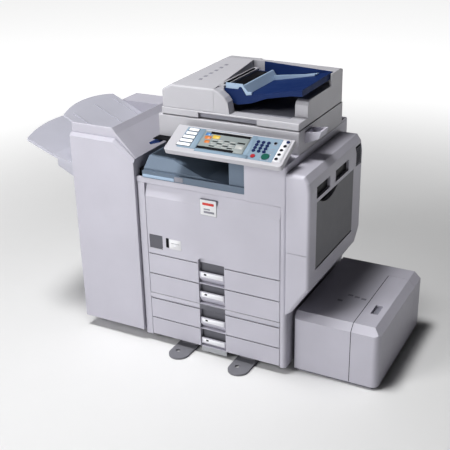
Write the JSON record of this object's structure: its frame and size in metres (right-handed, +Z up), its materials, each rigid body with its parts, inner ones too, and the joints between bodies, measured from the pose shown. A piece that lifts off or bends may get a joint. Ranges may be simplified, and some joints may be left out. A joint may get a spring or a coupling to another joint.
{
  "type": "photocopier",
  "caption": "Floor-standing office photocopier with document feeder, paper drawers, duplex unit, side paper deck and stapling finisher; doors, trays, lids and keys move.",
  "frame": {"origin": "middle of the whole machine's footprint, on the floor", "axes": "+X to the machine's right as its user sees it, +Y to its back, +Z up"},
  "size_m": [1.537, 0.678, 1.098],
  "materials": {
    "shell": "satin",
    "grey_plastic": "matte",
    "steel": "satin",
    "tray_blue": "matte",
    "navy": "matte",
    "black_plastic": "matte",
    "bypass_grey": "matte",
    "rubber": "matte",
    "foot_grey": "matte",
    "glass": "clear",
    "screen": "gloss",
    "key_navy": "satin",
    "key_green": "gloss",
    "key_red": "gloss"
  },
  "bodies": {
    "machine": {"base_plate": "steel", "left_cover": "shell", "right_cover": "shell", "rear_cover": "shell", "inner_frame": "steel", "stabiliser_feet": "foot_grey", "castors": "rubber", "imaging_unit": "grey_plastic", "exit_tray": "tray_blue", "bay_lining": "black_plastic", "upper_frame": "shell", "scanner_housing": "shell", "platen_glass": "glass", "side_shelf": "shell", "power_inlet": "black_plastic", "finisher_casing": "shell", "proof_tray": "shell", "bridge_unit": "black_plastic", "deck_casing": "shell", "deck_base": "grey_plastic"},
    "front_door": {"front_door": "shell"},
    "power_cover": {"power_switch_cover": "black_plastic"},
    "toner_bottle": {"toner_bottle": "black_plastic"},
    "drawer_1": {"tray_1_front": "shell", "tray_1_box": "grey_plastic"},
    "drawer_2": {"tray_2_front": "shell", "tray_2_box": "grey_plastic"},
    "drawer_3": {"tray_3_front": "shell", "tray_3_box": "grey_plastic"},
    "drawer_4": {"tray_4_front": "shell", "tray_4_box": "grey_plastic"},
    "duplex_unit": {"duplex_unit": "shell"},
    "bypass_tray": {"bypass_tray": "bypass_grey"},
    "feeder": {"adf_base": "shell"},
    "feeder_cover": {"adf_cover": "shell"},
    "document_tray": {"document_tray": "navy"},
    "guide_front": {"guide_front": "tray_blue"},
    "guide_rear": {"guide_rear": "tray_blue"},
    "panel": {"control_panel": "shell", "display_screen": "screen"},
    "number_key_1": {"number_key_1": "key_navy"},
    "number_key_2": {"number_key_2": "key_navy"},
    "number_key_3": {"number_key_3": "key_navy"},
    "number_key_4": {"number_key_4": "key_navy"},
    "number_key_5": {"number_key_5": "key_navy"},
    "number_key_6": {"number_key_6": "key_navy"},
    "number_key_7": {"number_key_7": "key_navy"},
    "number_key_8": {"number_key_8": "key_navy"},
    "number_key_9": {"number_key_9": "key_navy"},
    "number_key_star": {"number_key_star": "key_navy"},
    "number_key_0": {"number_key_0": "key_navy"},
    "number_key_hash": {"number_key_hash": "key_navy"},
    "start_key": {"start_key": "key_green"},
    "stop_key": {"stop_key": "key_red"},
    "power_key": {"power_key": "key_navy"},
    "scan_carriage": {"scan_carriage": "black_plastic"},
    "finisher_door": {"finisher_door": "shell"},
    "shift_tray": {"shift_tray": "shell"},
    "deck_door": {"deck_door": "shell"},
    "deck_lift_plate": {"deck_lift_plate": "steel"}
  },
  "joints": [
    {"name": "front_door_hinge", "type": "hinge", "parent": "machine", "child": "front_door", "pos_m": [0.1115, -0.248, 0.408], "axis": [1, 0, 0], "range_deg": [0, 90]},
    {"name": "power_cover_hinge", "type": "hinge", "parent": "front_door", "child": "power_cover", "pos_m": [-0.16, -0.2495, 0.457], "axis": [0, 0, -1], "range_deg": [0, 95]},
    {"name": "toner_bottle_spin", "type": "hinge", "parent": "machine", "child": "toner_bottle", "pos_m": [0.2595, -0.051, 0.6], "axis": [0, 1, 0], "continuous": true},
    {"name": "drawer_1_slide", "type": "slide", "parent": "machine", "child": "drawer_1", "axis": [0, -1, 0], "range_m": [0, 0.35]},
    {"name": "drawer_2_slide", "type": "slide", "parent": "machine", "child": "drawer_2", "axis": [0, -1, 0], "range_m": [0, 0.35]},
    {"name": "drawer_3_slide", "type": "slide", "parent": "machine", "child": "drawer_3", "axis": [0, -1, 0], "range_m": [0, 0.35]},
    {"name": "drawer_4_slide", "type": "slide", "parent": "machine", "child": "drawer_4", "axis": [0, -1, 0], "range_m": [0, 0.35]},
    {"name": "duplex_hinge", "type": "hinge", "parent": "machine", "child": "duplex_unit", "pos_m": [0.4225, 0.265, 0.55], "axis": [0, 0, 1], "range_deg": [0, 75]},
    {"name": "bypass_hinge", "type": "hinge", "parent": "duplex_unit", "child": "bypass_tray", "pos_m": [0.504, -0.009, 0.4587], "axis": [0, 1, 0], "range_deg": [0, 75]},
    {"name": "feeder_lift", "type": "hinge", "parent": "machine", "child": "feeder", "pos_m": [0.1295, 0.279, 0.95], "axis": [-1, 0, 0], "range_deg": [0, 60]},
    {"name": "feeder_cover_hinge", "type": "hinge", "parent": "feeder", "child": "feeder_cover", "pos_m": [-0.1405, 0.064, 0.9751], "axis": [0, -1, 0], "range_deg": [0, 70]},
    {"name": "document_tray_hinge", "type": "hinge", "parent": "feeder", "child": "document_tray", "pos_m": [0.1035, 0.044, 1.058], "axis": [0, -1, 0], "range_deg": [0, 30]},
    {"name": "guide_front_slide", "type": "slide", "parent": "document_tray", "child": "guide_front", "axis": [0, 1, 0], "range_m": [0, 0.1]},
    {"name": "guide_rear_slide", "type": "slide", "parent": "document_tray", "child": "guide_rear", "axis": [0, 1, 0], "range_m": [-0.1, 0]},
    {"name": "panel_tilt", "type": "hinge", "parent": "machine", "child": "panel", "pos_m": [0.1905, -0.189, 0.893], "axis": [-1, 0, 0], "range_deg": [0, 20]},
    {"name": "number_key_1_press", "type": "slide", "parent": "panel", "child": "number_key_1", "axis": [0, 0.4289, -0.9033], "range_m": [0, 0.0015], "stiffness_N_per_m": 300, "springref_m": -0.002},
    {"name": "number_key_2_press", "type": "slide", "parent": "panel", "child": "number_key_2", "axis": [0, 0.4289, -0.9033], "range_m": [0, 0.0015], "stiffness_N_per_m": 300, "springref_m": -0.002},
    {"name": "number_key_3_press", "type": "slide", "parent": "panel", "child": "number_key_3", "axis": [0, 0.4289, -0.9033], "range_m": [0, 0.0015], "stiffness_N_per_m": 300, "springref_m": -0.002},
    {"name": "number_key_4_press", "type": "slide", "parent": "panel", "child": "number_key_4", "axis": [0, 0.4289, -0.9033], "range_m": [0, 0.0015], "stiffness_N_per_m": 300, "springref_m": -0.002},
    {"name": "number_key_5_press", "type": "slide", "parent": "panel", "child": "number_key_5", "axis": [0, 0.4289, -0.9033], "range_m": [0, 0.0015], "stiffness_N_per_m": 300, "springref_m": -0.002},
    {"name": "number_key_6_press", "type": "slide", "parent": "panel", "child": "number_key_6", "axis": [0, 0.4289, -0.9033], "range_m": [0, 0.0015], "stiffness_N_per_m": 300, "springref_m": -0.002},
    {"name": "number_key_7_press", "type": "slide", "parent": "panel", "child": "number_key_7", "axis": [0, 0.4289, -0.9033], "range_m": [0, 0.0015], "stiffness_N_per_m": 300, "springref_m": -0.002},
    {"name": "number_key_8_press", "type": "slide", "parent": "panel", "child": "number_key_8", "axis": [0, 0.4289, -0.9033], "range_m": [0, 0.0015], "stiffness_N_per_m": 300, "springref_m": -0.002},
    {"name": "number_key_9_press", "type": "slide", "parent": "panel", "child": "number_key_9", "axis": [0, 0.4289, -0.9033], "range_m": [0, 0.0015], "stiffness_N_per_m": 300, "springref_m": -0.002},
    {"name": "number_key_star_press", "type": "slide", "parent": "panel", "child": "number_key_star", "axis": [0, 0.4289, -0.9033], "range_m": [0, 0.0015], "stiffness_N_per_m": 300, "springref_m": -0.002},
    {"name": "number_key_0_press", "type": "slide", "parent": "panel", "child": "number_key_0", "axis": [0, 0.4289, -0.9033], "range_m": [0, 0.0015], "stiffness_N_per_m": 300, "springref_m": -0.002},
    {"name": "number_key_hash_press", "type": "slide", "parent": "panel", "child": "number_key_hash", "axis": [0, 0.4289, -0.9033], "range_m": [0, 0.0015], "stiffness_N_per_m": 300, "springref_m": -0.002},
    {"name": "start_key_press", "type": "slide", "parent": "panel", "child": "start_key", "axis": [0, 0.4289, -0.9033], "range_m": [0, 0.0015], "stiffness_N_per_m": 300, "springref_m": -0.002},
    {"name": "stop_key_press", "type": "slide", "parent": "panel", "child": "stop_key", "axis": [0, 0.4289, -0.9033], "range_m": [0, 0.0015], "stiffness_N_per_m": 300, "springref_m": -0.002},
    {"name": "power_key_press", "type": "slide", "parent": "panel", "child": "power_key", "axis": [0, 0.4289, -0.9033], "range_m": [0, 0.0015], "stiffness_N_per_m": 300, "springref_m": -0.002},
    {"name": "scan_carriage_travel", "type": "slide", "parent": "machine", "child": "scan_carriage", "axis": [1, 0, 0], "range_m": [0, 0.33]},
    {"name": "finisher_door_hinge", "type": "hinge", "parent": "machine", "child": "finisher_door", "pos_m": [-0.4945, -0.26, 0.45], "axis": [0, 0, -1], "range_deg": [0, 100]},
    {"name": "shift_tray_lift", "type": "slide", "parent": "machine", "child": "shift_tray", "axis": [0, 0, -1], "range_m": [0, 0.27]},
    {"name": "deck_door_hinge", "type": "hinge", "parent": "machine", "child": "deck_door", "pos_m": [0.7645, 0.019, 0.016], "axis": [0, 1, 0], "range_deg": [0, 80]},
    {"name": "deck_lift", "type": "slide", "parent": "machine", "child": "deck_lift_plate", "axis": [0, 0, 1], "range_m": [0, 0.18]}
  ],
  "couplings": [
    {"joint": "guide_rear_slide", "follows": "guide_front_slide", "ratio": -1}
  ]
}
